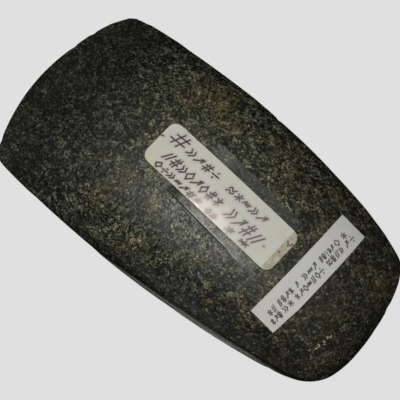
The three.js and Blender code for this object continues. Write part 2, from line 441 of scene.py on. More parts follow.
# The stone. Places on it are millimetres along X and Y.
STONE_MIDDLE = 12 * MM
RIM_HEIGHT = 12.15 * MM
OCHRE_PATCHES = [
    # along, aside, radius, strength
    (-13, 19.5, 5.5, 1.0), (-19.6, 17, 5, 0.8), (-28.5, 6, 3.5, 0.6), (-31, 17, 3.5, 0.7),
    (-20, 22.5, 4, 0.7), (-6.5, 18, 4.5, 0.8), (-11.5, 25, 3, 0.6), (3.5, 21, 3.5, 0.5),
    (-23, -17.5, 5, 0.8), (-19.5, -11, 4.5, 0.75), (-8, -22.5, 4, 0.7), (-10.5, -12.3, 4, 0.7),
    (16.9, -22.5, 2.2, 0.9), (11.5, 17, 4, 0.55), (21, 13, 4, 0.5), (44, -4.5, 5, 0.35),
    (49, 9.2, 4.5, 0.7), (27, 20, 3.5, 0.6), (24.5, -18, 4, 0.5), (-17.5, -1.5, 2.2, 0.9),
]
NICKS = [
    # along, aside, length, turn in degrees, how fresh its floor is
    (47.4, -9.6, 0.8, 80, 0.9), (46.9, -10.4, 0.7, 150, 0.9), (46.9, -11.6, 0.6, 20, 1.0),
    (47.4, -12.1, 0.4, 110, 0.8), (46.4, -13.3, 0.9, 150, 0.9), (46.3, -14.2, 0.7, 70, 0.8),
    (45.2, -15.7, 0.8, 75, 0.5), (50.2, -12.5, 0.3, 0, 0.6),
]
EDGE_CHIPS = [
    # along, aside, radius, share of the chip depth
    (1.4, 28.0, 1.2, 0.5), (-46.0, 27.4, 2.2, 1.1), (-43.6, 28.3, 2.4, 0.8),
    (-52.0, 16.3, 1.2, 0.4), (-54.5, 10.5, 1.5, 0.3), (-52.3, -21.5, 1.6, 0.4),
    (54.6, 6.5, 1.8, 0.35), (40.0, -24.3, 2.0, 0.35), (20.0, 28.4, 1.6, 0.3),
]
# How far the ground outline strays outwards from its arcs: degrees anticlockwise from the poll, and
# millimetres.
RIM_STRAYS = [
    (-180, -0.1), (-165, 0.05), (-145, 0.2), (-125, 0.35), (-95, 0), (-75, -0.1), (-35, 0.2),
    (-27, -0.1), (-18, 0.2), (0, -0.15), (15, 0.4), (22, -0.2), (27, 0.25), (35, 0.25), (50, -0.1),
    (85, -0.35), (97, -0.1), (130, 0.45), (149, 0), (157, 0.4), (170, -0.25), (180, -0.1),
]
STRAY_REACH = 5 * MM
CHIP_REACH = 3 * MM
# Where along X each zone starts and where it is full.
BIT_SPAN = (-18 * MM, -43 * MM)
POLL_SPAN = (18 * MM, 50 * MM)
FACET_RISE = (-16 * MM, 10 * MM)
FACET_FALL = (45 * MM, 20 * MM)
FACET_HEIGHT = 3.2 * MM
STONE_GLOSS = 0.205
NICK_WIDTH = 0.21 * MM
NICK_DEPTH = 0.16 * MM
NICK_REACH = 2 * MM
RUSTY_NICKS = 4
RIM_TOLERANCE = 0.05 * MM
CREASE_ANGLE = math.radians(25)
SMOOTH_ANGLE = math.radians(38)
GREYER_GRAINS = (0.0235, 0.0235, 0.0185, 1)
# The ground facets' streaks, paler than the stone partly as a painted sheen.
FACET_SHEEN_DARK = (0.21, 0.21, 0.20, 1)
FACET_SHEEN_PALE = (0.84, 0.84, 0.82, 1)
NICK_STAIN = (0.045, 0.022, 0.009, 1)
NICK_FLOOR = (0.45, 0.40, 0.29, 1)


def rim_points(mesh):
    """Points every half millimetre or so along the stone's sharp edges."""
    points = []
    for edge in mesh.edges:
        if mesh.attributes["crease_edge"].data[edge.index].value > 0:
            first, last = (mesh.vertices[i].co for i in edge.vertices)
            steps = max(1, round((last - first).length / (0.5 * MM)))
            points += [first.lerp(last, step / steps) for step in range(steps)]
    return points


def nearest_distances(points, targets):
    tree = kdtree.KDTree(len(targets))
    for i, target in enumerate(targets):
        tree.insert(target, i)
    tree.balance()
    return np.array([tree.find(p)[2] for p in points])


def wear_stone(mesh, rim, looks):
    """Faint hollows over the faces, and edges that wander and are chipped."""
    points, normals = points_of(mesh), normals_of(mesh)
    hollows = wavy(points, 13 * MM, 1.7) + 0.5 * wavy(points, 5 * MM, 4.1)
    points -= normals * (looks.relief * (0.5 + 0.4 * hollows))[:, None]
    rim_distance = nearest_distances(points, rim)
    inward = np.stack([np.clip(points[:, 0], -20 * MM, 20 * MM) - points[:, 0], -points[:, 1]], 1)
    inward /= np.linalg.norm(inward, axis=1)[:, None] + 1e-9
    near_rim = 1 - smoothstep(0, 2.5 * MM, rim_distance)
    wander = 0.5 + 0.5 * wavy(points, 6 * MM, 8.3) + 0.35 * wavy(points, 1.8 * MM, 2.9)
    cut = looks.wobble * np.clip(wander, 0, 2) * near_rim
    for along, aside, radius, share in EDGE_CHIPS:
        away = plan_distance(points, along, aside)
        ragged = 1 + 0.25 * wavy(points, 1.1 * MM, along)
        cut += looks.chip_depth * share * (1 - smoothstep(0.15, 1, away * ragged / (radius * MM)))
    turns, strays = np.array(RIM_STRAYS).T
    stray = np.interp(np.degrees(np.arctan2(points[:, 1], points[:, 0])), turns, strays) * MM
    cut -= stray * (1 - smoothstep(0, STRAY_REACH, rim_distance))
    points[:, :2] += inward * cut[:, None]
    move_points(mesh, np.clip(points, STONE_BOX[0], STONE_BOX[1]))
    return rim_distance


def cut_nicks(mesh):
    """Cuts the row of small nicks near the poll, and marks their fresh floors and stained surrounds."""
    points = points_of(mesh)
    above = points[:, 2] > STONE_MIDDLE
    fresh = np.zeros(len(points))
    rust = np.zeros(len(points))
    for number, (along, aside, length, turn, newness) in enumerate(NICKS):
        angle = math.radians(turn)
        offset = points[:, :2] - np.array([along, aside]) * MM
        lengthways = offset @ np.array([math.cos(angle), math.sin(angle)])
        crossways = offset @ np.array([-math.sin(angle), math.cos(angle)])
        bow = crossways - 0.35 * MM * ((lengthways / (0.5 * length * MM)) ** 2 - 0.5)
        past = np.maximum(np.abs(lengthways) - (0.5 * length * MM - NICK_WIDTH / 2), 0)
        away = np.hypot(bow, past)
        fresh = np.maximum(fresh, newness * (1 - smoothstep(0.35, 1, away / NICK_WIDTH)) * above)
        if number < RUSTY_NICKS:
            spread = 1 - smoothstep(0.3 * MM, 1.5 * MM, away)
            rust = np.maximum(rust, spread * above)
    points[:, 2] -= NICK_DEPTH * fresh
    move_points(mesh, points)
    paint(mesh, "fresh", fresh)
    paint(mesh, "rust", rust)


def mark_stone(mesh, rim_distance):
    """Keeps where the stone is weathered, even in grain, brown, shaded, matt, at the bit or facetted."""
    points, normals = points_of(mesh), normals_of(mesh)
    x, y = points[:, 0], points[:, 1]
    ochre = np.zeros(len(points))
    ragged = 1 + 0.4 * wavy(points, 4.5 * MM, 5.5) + 0.3 * wavy(points, 1.7 * MM, 6.5)
    for along, aside, radius, strength in OCHRE_PATCHES:
        away = plan_distance(points, along, aside)
        ochre = np.maximum(ochre, strength * (1 - smoothstep(0.1, 1.35, away * ragged / (radius * MM))))
    below = points[:, 2] < STONE_MIDDLE
    patchy = smoothstep(-0.2, 0.7, wavy(points, 8 * MM, 9.2) + 0.5 * wavy(points, 3 * MM, 3.3))
    bit = smoothstep(*BIT_SPAN, x)
    poll = smoothstep(*POLL_SPAN, x)
    ochre = np.where(below, 0.8 * patchy, np.maximum(ochre, 0.42 * patchy)) * (1 - 0.85 * bit)
    paint(mesh, "ochre", ochre)
    calm = 0.4 * smoothstep(-36 * MM, -52 * MM, x) + 0.3 * smoothstep(20 * MM, 45 * MM, x) + 0.25 * ochre
    paint(mesh, "calm", np.minimum(calm, 1))
    paint(mesh, "brown", smoothstep(5 * MM, 30 * MM, x + 0.35 * y))
    steep = smoothstep(0.2, 0.45, 1 - np.abs(normals[:, 2]))
    facet = smoothstep(*FACET_RISE, x) * smoothstep(*FACET_FALL, x)
    above_facet = points[:, 2] - RIM_HEIGHT - FACET_HEIGHT * facet
    side = (1 - smoothstep(-0.5 * MM, 0.5 * MM, above_facet)) * steep * (np.abs(y) > 15 * MM) * facet ** 0.5
    rim_shade = 1 - smoothstep(0.5 * MM, np.where(y < 0, 8.5, 6) * MM, rim_distance)
    rim_shade = np.maximum(rim_shade, steep) * (1 - bit) * (1 - 0.5 * poll)
    right = smoothstep(2 * MM, 16 * MM, x)
    rim_shade *= np.where(y < 0, 0.5 + 0.25 * smoothstep(-25 * MM, -5 * MM, x), 0.32)
    dark_bit = (0.62 - 0.1 * smoothstep(0, -15 * MM, y) - 0.2 * smoothstep(-42 * MM, -53 * MM, x)) * bit
    paint(mesh, "shade", (1 - rim_shade) * (1 - dark_bit) * (1 - 0.12 * right) * (1 - 0.2 * poll))
    paint(mesh, "bit", bit)
    matt = y + 0.6 * np.maximum(x - 15 * MM, 0) + 2 * MM
    paint(mesh, "matt", smoothstep(-4 * MM, 5 * MM, matt))
    paint(mesh, "side", side)


def stone_material(looks, grains):
    """Dark green ground stone: a speckle of grains, weathering, streaked side facets paled partly as
    painted sheen, and a worn polish.
    """
    material, graph, shader, place = new_material("worn polished greenstone")
    grain = graph.group(grains, Vector=place, Size=looks.grain)
    coarse = graph.group(grains, Vector=place, Size=3 * looks.grain)
    ochre = graph.attribute("ochre")
    bit = graph.attribute("bit")
    side = graph.attribute("side")
    cloud = graph.noise(place, 9 * MM, 3.0)
    fine = graph.noise(place, 0.34 * MM, 2.0, 0.6)
    blotch = graph.noise(graph.vector("ADD", place, (0.05, 0.0, 0.0)), 1.8 * MM, 2.0)
    veined = graph.noise(place, 2.4 * MM, 3.0, 0.6, distortion=0.6)

    hue = graph.ramp(graph.plus(graph.times(grain["Hue"], 0.3), blotch), 0.56, 0.76)
    ground = graph.mix(hue, colour4(looks.green), colour4(looks.blue))
    ground = graph.mix(graph.times(bit, 0.4), ground, colour4(looks.blue))
    mossy = graph.ramp(graph.noise(place, 4 * MM, 3.0), 0.4, 0.58, 0.1, 1.0)
    brown = graph.times(graph.attribute("brown"), mossy)
    ground = graph.mix(brown, ground, colour4(looks.brown))
    grainy = graph.plus(graph.times(grain["Rarity"], 0.22), graph.times(coarse["Hue"], 0.22))
    grainy = graph.plus(grainy, graph.ramp(veined, 0.3, 0.7, 0.0, 0.56))
    chance = graph.ramp(graph.math("SUBTRACT", graph.times(ochre, 1.1), grainy), -0.3, 0.45)
    weathered = graph.mix(graph.ramp(blotch, 0.38, 0.62), colour4(looks.rust), colour4(looks.ochre))
    toned = graph.mix(chance, ground, weathered)

    dark = graph.ramp(grain["Brightness"], 0.0, 0.5, 0.2, 1.0)
    bright = graph.ramp(grain["Brightness"], 0.5, 1.0, 1.0, 2.15)
    patchy = graph.ramp(coarse["Brightness"], 0.0, 1.0, 0.62, 1.45, smooth=False)
    speckle = graph.times(dark, bright, patchy, graph.ramp(fine, 0.3, 0.7, 0.45, 1.65))
    mottle = graph.ramp(graph.noise(place, 4 * MM, 2.0), 0.3, 0.7, 0.78, 1.24, smooth=False)
    speckle = graph.times(graph.math("POWER", speckle, looks.contrast), mottle)
    speckle = graph.mix(graph.attribute("calm"), speckle, WHITE)
    speckle = graph.mix(1.0, speckle, graph.attribute("shade"), "MULTIPLY")
    greyed = graph.mix(graph.ramp(speckle, 0.6, 2.5, 0.0, 0.45), toned, GREYER_GRAINS)
    colour = graph.mix(1.0, greyed, speckle, "MULTIPLY")

    rare = graph.ramp(grain["Rarity"], 0.96, 0.985)
    rare = graph.times(rare, 0.6, graph.math("SUBTRACT", 1.0, bit))
    colour = graph.mix(rare, colour, colour4(looks.pale))

    # The ground side facets: grey scratches, made paler still as a painted sheen.
    lengthways = graph.stretched(place, (0.03, 1.0, 1.0))
    striated = graph.plus(graph.noise(lengthways, 1.1 * MM, 3.0, 0.7),
                          graph.noise(lengthways, 0.28 * MM, 3.0, 0.7))
    scratches_and_sheen = graph.mix(graph.ramp(striated, 0.82, 1.2), FACET_SHEEN_DARK, FACET_SHEEN_PALE)
    scratches_and_sheen = graph.mix(0.35, scratches_and_sheen, speckle, "MULTIPLY")
    colour = graph.mix(graph.times(side, 0.85), colour, scratches_and_sheen)

    rusty = graph.noise(place, 0.9 * MM, 2.0)
    rust = graph.times(graph.attribute("rust"), graph.ramp(rusty, 0.4, 0.65))
    colour = graph.mix(graph.times(rust, 0.75), colour, NICK_STAIN)
    colour = graph.mix(graph.attribute("fresh"), colour, NICK_FLOOR)
    graph.feed(shader.inputs["Base Color"], colour)

    shiny = graph.ramp(grain["Hue"], 0.0, 1.0, looks.roughness - 0.1, looks.roughness + 0.16, smooth=False)
    worn = graph.times(graph.math("SUBTRACT", cloud, 0.5), 0.2)
    dulled = graph.plus(graph.times(graph.attribute("matt"), 0.14), graph.times(side, 0.2))
    rough = graph.math("ADD", graph.plus(shiny, worn), dulled, clamp=True)
    graph.feed(shader.inputs["Roughness"], rough)
    shader.inputs["Specular IOR Level"].default_value = STONE_GLOSS

    pits = graph.times(graph.ramp(grain["Relief"], 0.0, 0.8), 0.5)
    height = graph.plus(pits, graph.times(fine, 0.7))
    height = graph.plus(height, graph.times(striated, side))
    graph.feed(shader.inputs["Normal"], graph.bump(height, 0.6, 0.06 * MM))
    return material


class AXE_OT_stone(bpy.types.Operator):
    """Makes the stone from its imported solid: a smooth skin, wandering edges, chips, nicks and grain"""

    bl_idname = "axe.stone"
    bl_label = "Stone"
    bl_options = {"REGISTER", "UNDO"}

    def execute(self, context):
        looks = context.scene.stone_looks
        stone = copied_node("axe_stone", "polished_stone")
        bpy.ops.object.mode_set(mode="EDIT")
        bpy.ops.mesh.select_all(action="DESELECT")
        bpy.ops.mesh.select_mode(type="EDGE")
        bpy.ops.mesh.edges_select_sharp(sharpness=CREASE_ANGLE)
        bpy.ops.object.mode_set(mode="OBJECT")
        for edge in stone.data.edges:
            ends = [stone.data.vertices[i].co.z for i in edge.vertices]
            edge.select |= max(abs(z - RIM_HEIGHT) for z in ends) < RIM_TOLERANCE
        bpy.ops.object.mode_set(mode="EDIT")
        bpy.ops.transform.edge_crease(value=1.0)
        bpy.ops.object.mode_set(mode="OBJECT")
        rim = rim_points(stone.data)
        skin = stone.modifiers.new("skin", "SUBSURF")
        skin.levels = skin.render_levels = 2
        bpy.ops.object.modifier_apply(modifier=skin.name)
        subdivide_near(stone, EDGE_CHIPS, CHIP_REACH, 1)
        subdivide_near(stone, NICKS, NICK_REACH, 5)
        rim_distance = wear_stone(stone.data, rim, looks)
        mark_stone(stone.data, rim_distance)
        cut_nicks(stone.data)
        bpy.ops.object.shade_smooth_by_angle(angle=SMOOTH_ANGLE)
        stone.data.materials.append(stone_material(looks, bpy.data.node_groups["Grains"]))
        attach(stone, "root")
        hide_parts("axe_stone")
        return {"FINISHED"}


class StoneFace:
    """The labelled face of the finished stone, which sheets are laid on."""

    def __init__(self):
        stone = bpy.data.objects["polished_stone"]
        self.tree = BVHTree.FromPolygons(
            [v.co for v in stone.data.vertices], [p.vertices for p in stone.data.polygons])

    def hit(self, place):
        above = Vector((place[0], place[1], CAD_BOX[1].z + MM))
        point, normal, _, _ = self.tree.ray_cast(above, Vector((0, 0, -1)))
        if point is None:
            raise RuntimeError(f"there is no stone under a sheet at {tuple(place)}")
        return point, normal

    def walk(self, start, direction, distance):
        """The plan place reached by walking over the face in a plan direction."""
        strides = max(1, math.ceil(abs(distance) / WALKING_STEP))
        place = start.copy()
        for _ in range(strides):
            normal = self.hit(place)[1]
            slope = -(normal.x * direction.x + normal.y * direction.y) / normal.z
            place += direction * (distance / strides / math.hypot(1, slope))
        return place


def flat_grid(name, length, width, step):
    """A flat rectangular grid with about square cells, as a new active object."""
    deselect()
    bpy.ops.mesh.primitive_grid_add(
        x_subdivisions=max(2, round(length / step)), y_subdivisions=max(2, round(width / step)), size=1)
    sheet = bpy.context.object
    sheet.name = sheet.data.name = name
    return sheet


def lay_sheet(sheet, flat, centre, turn, lift, thickness, pattern=None):
    """Lays a flat sheet on the stone's face at its true length, and gives it its thickness.

    flat holds the sheet's flat coordinates for each vertex, lift how high it lies, as one number or one
    for each vertex, and pattern the coordinates for its UV map, if they differ.
    """
    face = StoneFace()
    lengthways = Vector((math.cos(turn), math.sin(turn)))
    crossways = Vector((-lengthways.y, lengthways.x))
    low, high = flat.min(0), flat.max(0)
    columns = np.linspace(low[0], high[0], round((high[0] - low[0]) / WALKING_STEP) + 1)
    rows = np.linspace(low[1], high[1], round((high[1] - low[1]) / WALKING_STEP) + 1)
    lattice = np.zeros((len(columns), len(rows), 2))
    for i, column in enumerate(columns):
        foot = face.walk(centre, lengthways, column)
        for j, row in enumerate(rows):
            lattice[i, j] = face.walk(foot, crossways, row)
    across = (flat[:, 0] - low[0]) / (columns[1] - columns[0])
    up = (flat[:, 1] - low[1]) / (rows[1] - rows[0])
    i = np.clip(across.astype(int), 0, len(columns) - 2)
    j = np.clip(up.astype(int), 0, len(rows) - 2)
    s, t = (across - i)[:, None], (up - j)[:, None]
    plan = ((1 - s) * (1 - t) * lattice[i, j] + s * (1 - t) * lattice[i + 1, j]
            + (1 - s) * t * lattice[i, j + 1] + s * t * lattice[i + 1, j + 1])
    laid = []
    for place, height in zip(plan, np.broadcast_to(lift + thickness, len(plan))):
        point, normal = face.hit(place)
        laid.append(point + normal * height)
    pattern = flat if pattern is None else pattern
    uv = (pattern - pattern.min(0)) / np.ptp(pattern[:, 0])
    layer = sheet.data.uv_layers.active or sheet.data.uv_layers.new(name="UVMap")
    corners = np.zeros(len(sheet.data.loops), int)
    sheet.data.loops.foreach_get("vertex_index", corners)
    layer.data.foreach_set("uv", uv[corners].astype(np.float32).ravel())
    move_points(sheet.data, np.array(laid))
    make_active(sheet)
    wall = sheet.modifiers.new("thickness", "SOLIDIFY")
    wall.thickness = thickness
    wall.offset = -1
    bpy.ops.object.modifier_apply(modifier=wall.name)
    bpy.ops.object.shade_smooth_by_angle(angle=SMOOTH_ANGLE)


def rounded(sheet, length, width, corner):
    """The flat coordinates of a grid's vertices, drawn in to a rectangle with rounded corners."""
    flat = points_of(sheet.data)[:, :2] * (length, width)
    into_corner = np.maximum(np.abs(flat[:, 1]) - (width / 2 - corner), 0)
    reach = length / 2 - corner + np.sqrt(np.maximum(corner ** 2 - into_corner ** 2, 0))
    flat[:, 0] *= reach / (length / 2)
    return flat


def stroke_distance(flat, stroke):
    """How far each flat point lies from a stroke, a list of points joined by lines."""
    nearest = np.full(len(flat), 1.0)
    for start, end in zip(stroke, stroke[1:]):
        start, end = np.array(start), np.array(end)
        line = end - start
        share = np.clip(((flat - start) @ line) / max(line @ line, 1e-12), 0, 1)
        nearest = np.minimum(nearest, np.linalg.norm(flat - start - share[:, None] * line, axis=1))
    return nearest


def smooth_line(knots, steps=6):
    """A smooth line through some points."""
    padded = [knots[0], *knots, knots[-1]]
    line = []
    for a, b, c, d in zip(padded, padded[1:], padded[2:], padded[3:]):
        for step in range(steps):
            t = step / steps
            line.append(tuple(
                0.5 * (2 * q + (r - p) * t + (2 * p - 5 * q + 4 * r - s) * t ** 2
                       + (3 * q - p - 3 * r + s) * t ** 3)
                for p, q, r, s in zip(a, b, c, d)))
    line.append(tuple(knots[-1]))
    return line


def inked(flat, strokes, width):
    """The share of ink on each flat point under some strokes, each with its own darkness."""
    ink = np.zeros(len(flat))
    for line, dark in strokes:
        distance = stroke_distance(flat, line)
        ink = np.maximum(ink, dark * (1 - smoothstep(0.36 * width, 0.66 * width, distance)))
    return ink


# The marks that stand where the writing is: strokes in a box one wide and one tall. None is a letter.
MARKS = [
    [[(0.1, 0.0), (0.4, 0.95)], [(0.6, 0.05), (0.9, 1.0)]],
    [[(0.5, 0.0), (0.95, 0.5)], [(0.95, 0.5), (0.5, 1.0)],
     [(0.5, 1.0), (0.05, 0.5)], [(0.05, 0.5), (0.5, 0.0)]],
    [[(0.05, 0.1), (0.45, 0.5)], [(0.45, 0.5), (0.1, 0.9)],
     [(0.55, 0.1), (0.95, 0.5)], [(0.95, 0.5), (0.6, 0.9)]],
    [[(0.0, 0.6), (0.25, 0.9), (0.65, 0.6), (0.95, 0.9)],
     [(0.05, 0.1), (0.3, 0.4), (0.7, 0.1), (1.0, 0.4)]],
    [[(0.5, 0.05), (0.5, 0.95)], [(0.1, 0.25), (0.9, 0.75)], [(0.1, 0.75), (0.9, 0.25)]],
    [[(0.05, 0.1), (0.95, 0.9)], [(0.95, 0.9), (0.5, 0.85)], [(0.95, 0.9), (0.85, 0.4)]],
    [[(0.05, 0.5), (0.95, 0.5)], [(0.48, 0.9), (0.55, 0.98)], [(0.45, 0.02), (0.52, 0.1)]],
    [[(0.3, 0.0), (0.4, 1.0)], [(0.7, 0.0), (0.8, 1.0)],
     [(0.0, 0.3), (1.0, 0.35)], [(0.05, 0.7), (1.0, 0.75)]],
    [[(0.0, 0.35), (0.2, 0.75), (0.4, 0.35), (0.6, 0.75), (0.8, 0.35), (1.0, 0.75)]],
]


def marks_in_row(draw, left, right, foot, tall, count, slant, unsteady):
    """Strokes for a group of marks that fills a stretch of a row, in flat metres."""
    pitch = (right - left) / count
    strokes, last = [], None
    for number in range(count):
        mark = draw.choice([m for m in MARKS if m is not last])
        last = mark
        wide = pitch * draw.uniform(0.68, 0.82)
        high = tall * draw.uniform(1 - unsteady, 1)
        dark = draw.uniform(0.94, 1.0)
        for knots in mark:
            line = []
            for across, up in knots:
                across += draw.uniform(-0.3, 0.3) * unsteady
                up += draw.uniform(-0.3, 0.3) * unsteady
                line.append(((left + number * pitch + wide * across + slant * high * (up - 0.5)) * MM,
                             (foot + high * up) * MM))
            strokes.append((smooth_line(line) if len(line) > 2 else line, dark))
    return strokes


# Groups of pen marks: left end, right end, foot and height in flat millimetres, and how many marks.
PEN_GROUPS = [
    (-19.8, -14.6, 1.3, 4.0, 1), (-14.2, -2.9, 1.7, 2.5, 4), (0.1, 13.5, 1.8, 2.4, 5),
    (-17.9, 2.2, -3.2, 2.9, 8), (4.2, 16.2, -3.7, 3.9, 4),
    (-18.4, -2.1, -6.05, 1.9, 7), (-0.3, 3.4, -6.0, 1.4, 2), (6.8, 10.0, -5.9, 1.8, 1),
    (11.2, 15.0, -5.7, 1.6, 1),
]
# Small marks near the ends: along, aside, length and turn in degrees.
PEN_SPECKS = [
    (21.0, 3.1, 0.9, -40), (21.7, 2.7, 1.0, 60), (22.1, 3.4, 0.6, 80), (20.9, -0.2, 0.3, 0),
    (17.1, -2.0, 0.15, 0), (-22.1, 1.2, 0.7, 20),
]
PEN_SEED = 11
PEN_SLANT = 0.35
PEN_WIDTH = 0.46 * MM
HALO_WIDTH = 1.5 * MM


def pen_strokes():
    draw = random.Random(PEN_SEED)
    strokes = []
    for left, right, foot, tall, count in PEN_GROUPS:
        strokes += marks_in_row(draw, left, right, foot, tall, count, PEN_SLANT, 0.14)
    for along, aside, length, turn in PEN_SPECKS:
        angle = math.radians(turn)
        across, up = 0.5 * length * math.cos(angle), 0.5 * length * math.sin(angle)
        ends = [(along - across, aside - up), (along + across, aside + up)]
        strokes.append(([(a * MM, b * MM) for a, b in ends], 0.9))
    return strokes


class AXE_OT_written_label(bpy.types.Operator):
    """Makes the aged paper label, with three rows of pen strokes that aren't letters"""

    bl_idname = "axe.written_label"
    bl_label = "Written Label"
    bl_options = {"REGISTER", "UNDO"}

    def execute(self, context):
        looks = context.scene.paper_looks
        label = flat_grid("written_label_paper", WRITTEN_LENGTH, WRITTEN_WIDTH, WRITTEN_STEP)
        flat = rounded(label, WRITTEN_LENGTH, WRITTEN_WIDTH, WRITTEN_CORNER)
        strokes = pen_strokes()
        paint(label.data, "ink", inked(flat, strokes, PEN_WIDTH))
        paint(label.data, "halo", inked(flat, strokes, HALO_WIDTH))
        lay_sheet(label, flat, WRITTEN_CENTRE, WRITTEN_TURN, GLUE_THICKNESS, PAPER_THICKNESS)
        label.data.materials.append(written_material(looks))
        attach(label, "root")
        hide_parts("written_label")
        return {"FINISHED"}


def sheet_axes(graph):
    """A sheet's own coordinates, along it and up, in shares of its length: whole and split."""
    sheet = graph.add("ShaderNodeTexCoord").outputs["UV"]
    split = graph.add("ShaderNodeSeparateXYZ", {0: sheet}).outputs
    return sheet, split[0], split[1]


def show_fibres(graph, shader, fibre, low, high):
    """Gives paper its fibres, as a roughness from low to high and as a faint relief."""
    graph.feed(shader.inputs["Roughness"], graph.ramp(fibre, 0.3, 0.7, low, high))
    graph.feed(shader.inputs["Normal"], graph.bump(fibre, 0.25, 0.03 * MM))


# How far from the label's end its bare strip starts, and where it is full.
BARE_FROM, BARE_FULL = 2.5 * MM, 2.2 * MM
WRITTEN_GLOSS = 0.3
SOILED_PAPER = (0.40, 0.38, 0.27, 1)
COOL_PAPER = (0.47, 0.50, 0.43, 1)
YELLOWED_PAPER = (0.42, 0.44, 0.22, 1)
PAINTED_GLARE_PAPER = (0.77, 0.72, 0.70, 1)
INK_HALO = (0.40, 0.27, 0.33, 1)


def written_material(looks):
    """Aged paper: soiled towards its edges, stained at the bare end, and paler with fainter ink as a
    painted highlight.
    """
    material, graph, shader, place = new_material("aged label paper")
    soil = bpy.data.node_groups["Soiling"]
    _, along, up = sheet_axes(graph)
    height = WRITTEN_WIDTH / WRITTEN_LENGTH

    dirt = graph.group(soil, Vector=place, Size=3.5 * MM, Amount=0.42)["Mask"]
    paper = graph.mix(graph.times(dirt, 0.25), colour4(looks.aged), SOILED_PAPER)
    broad = graph.noise(place, 9 * MM, 2.0)
    paper = graph.mix(graph.ramp(broad, 0.35, 0.7, 0.0, 0.35), paper, COOL_PAPER)

    yellow_end = graph.ramp(along, 0.07, 0.0)
    yellow_edge = graph.ramp(up, height * 0.10, 0.0)
    yellow = graph.most(graph.times(yellow_end, graph.ramp(up, height * 0.5, 0.0)),
                        graph.times(yellow_edge, graph.ramp(along, 0.45, 0.0)))
    paper = graph.mix(graph.times(yellow, 0.55), paper, YELLOWED_PAPER)

    bare = graph.ramp(along, 1 - BARE_FROM / WRITTEN_LENGTH, 1 - BARE_FULL / WRITTEN_LENGTH)
    mottled = graph.ramp(graph.noise(place, 1.6 * MM, 4.0, 0.6), 0.3, 0.7, 0.35, 0.9)
    paper = graph.mix(graph.times(bare, mottled), paper, colour4(looks.stain))

    # Painted highlight: the middle of the lower edge is paler, and its ink fainter, where the film's glare
    # falls.
    middle = graph.times(graph.ramp(along, 0.28, 0.46), graph.ramp(along, 0.8, 0.56))
    painted_glare = graph.times(middle, graph.ramp(up, height * 0.55, 0.0))
    paper = graph.mix(graph.times(painted_glare, 0.9), paper, PAINTED_GLARE_PAPER)

    halo = graph.attribute("halo")
    paper = graph.mix(graph.times(halo, 0.30), paper, INK_HALO)
    worn = graph.ramp(graph.noise(place, 0.5 * MM, 2.0), 0.25, 0.6, 0.85, 1.0)
    fade_and_glare = graph.ramp(painted_glare, 0.0, 0.8, 1.0, 0.45)
    # The ink also fades towards the right end.
    fade_and_glare = graph.times(fade_and_glare, graph.ramp(along, 0.42, 0.66, 1.0, 0.84))
    ink = graph.times(graph.attribute("ink"), worn, fade_and_glare)
    colour = graph.mix(ink, paper, colour4(looks.ink))
    graph.feed(shader.inputs["Base Color"], colour)

    fibre = graph.noise(graph.stretched(place, (1.0, 0.4, 1.0)), 0.3 * MM, 4.0, 0.6)
    show_fibres(graph, shader, fibre, 0.55, 0.75)
    shader.inputs["Specular IOR Level"].default_value = WRITTEN_GLOSS
    return material


# Groups of printed marks, in the same terms as the pen groups.
PRINT_GROUPS = [
    (-15.2, -12.3, -0.55, 1.75, 2), (-11.6, -6.0, -0.6, 1.8, 4), (-5.0, -3.9, -0.6, 1.7, 1),
    (-2.3, 3.4, -0.65, 1.8, 3), (4.1, 9.7, -0.5, 1.5, 5), (10.0, 12.2, -0.65, 1.8, 1),
    (12.9, 15.0, -0.75, 1.9, 1),
    (-16.2, -12.5, -2.75, 1.75, 3), (-11.9, -8.0, -2.8, 1.8, 2), (-7.3, 3.4, -2.85, 1.8, 7),
    (4.9, 11.1, -2.8, 1.8, 4), (11.9, 16.1, -2.8, 1.8, 2),
]
PRINT_SEED = 5
PRINT_WIDTH = 0.37 * MM
GREYED_PAPER = (0.38, 0.38, 0.33, 1)
PINKER_PAPER = (0.50, 0.46, 0.43, 1)


def print_strokes():
    draw = random.Random(PRINT_SEED)
    strokes = []
    for left, right, foot, tall, count in PRINT_GROUPS:
        strokes += marks_in_row(draw, left, right, foot, tall, count, 0, 0.03)
    return strokes


def cut_outline(sheet):
    """The flat coordinates of a grid's vertices, fitted into the hand-cut outline of the label."""
    unit = points_of(sheet.data)[:, :2] + 0.5
    along, lower, upper = np.array(PRINTED_OUTLINE).T * MM
    x = along[0] + unit[:, 0] * (along[-1] - along[0])
    low, high = np.interp(x, along, lower), np.interp(x, along, upper)
    return np.stack([x, low + unit[:, 1] * (high - low)], 1)


def printed_material(looks):
    """Matt grey-white paper, a little pinker at one end."""
    material, graph, shader, place = new_material("plain label paper")
    soil = bpy.data.node_groups["Soiling"]
    _, along, _ = sheet_axes(graph)
    dirt = graph.group(soil, Vector=place, Size=4 * MM, Amount=0.4)["Mask"]
    paper = graph.mix(graph.times(dirt, 0.15), colour4(looks.plain), GREYED_PAPER)
    paper = graph.mix(graph.ramp(along, 0.35, 0.0, 0.0, 0.35), paper, PINKER_PAPER)
    broken = graph.ramp(graph.noise(place, 0.35 * MM, 2.0), 0.3, 0.55, 0.55, 1.0)
    ink = graph.times(graph.attribute("ink"), broken)
    graph.feed(shader.inputs["Base Color"], graph.mix(ink, paper, colour4(looks.print_ink)))
    fibre = graph.noise(place, 0.25 * MM, 4.0, 0.6)
    show_fibres(graph, shader, fibre, 0.65, 0.85)
    return material


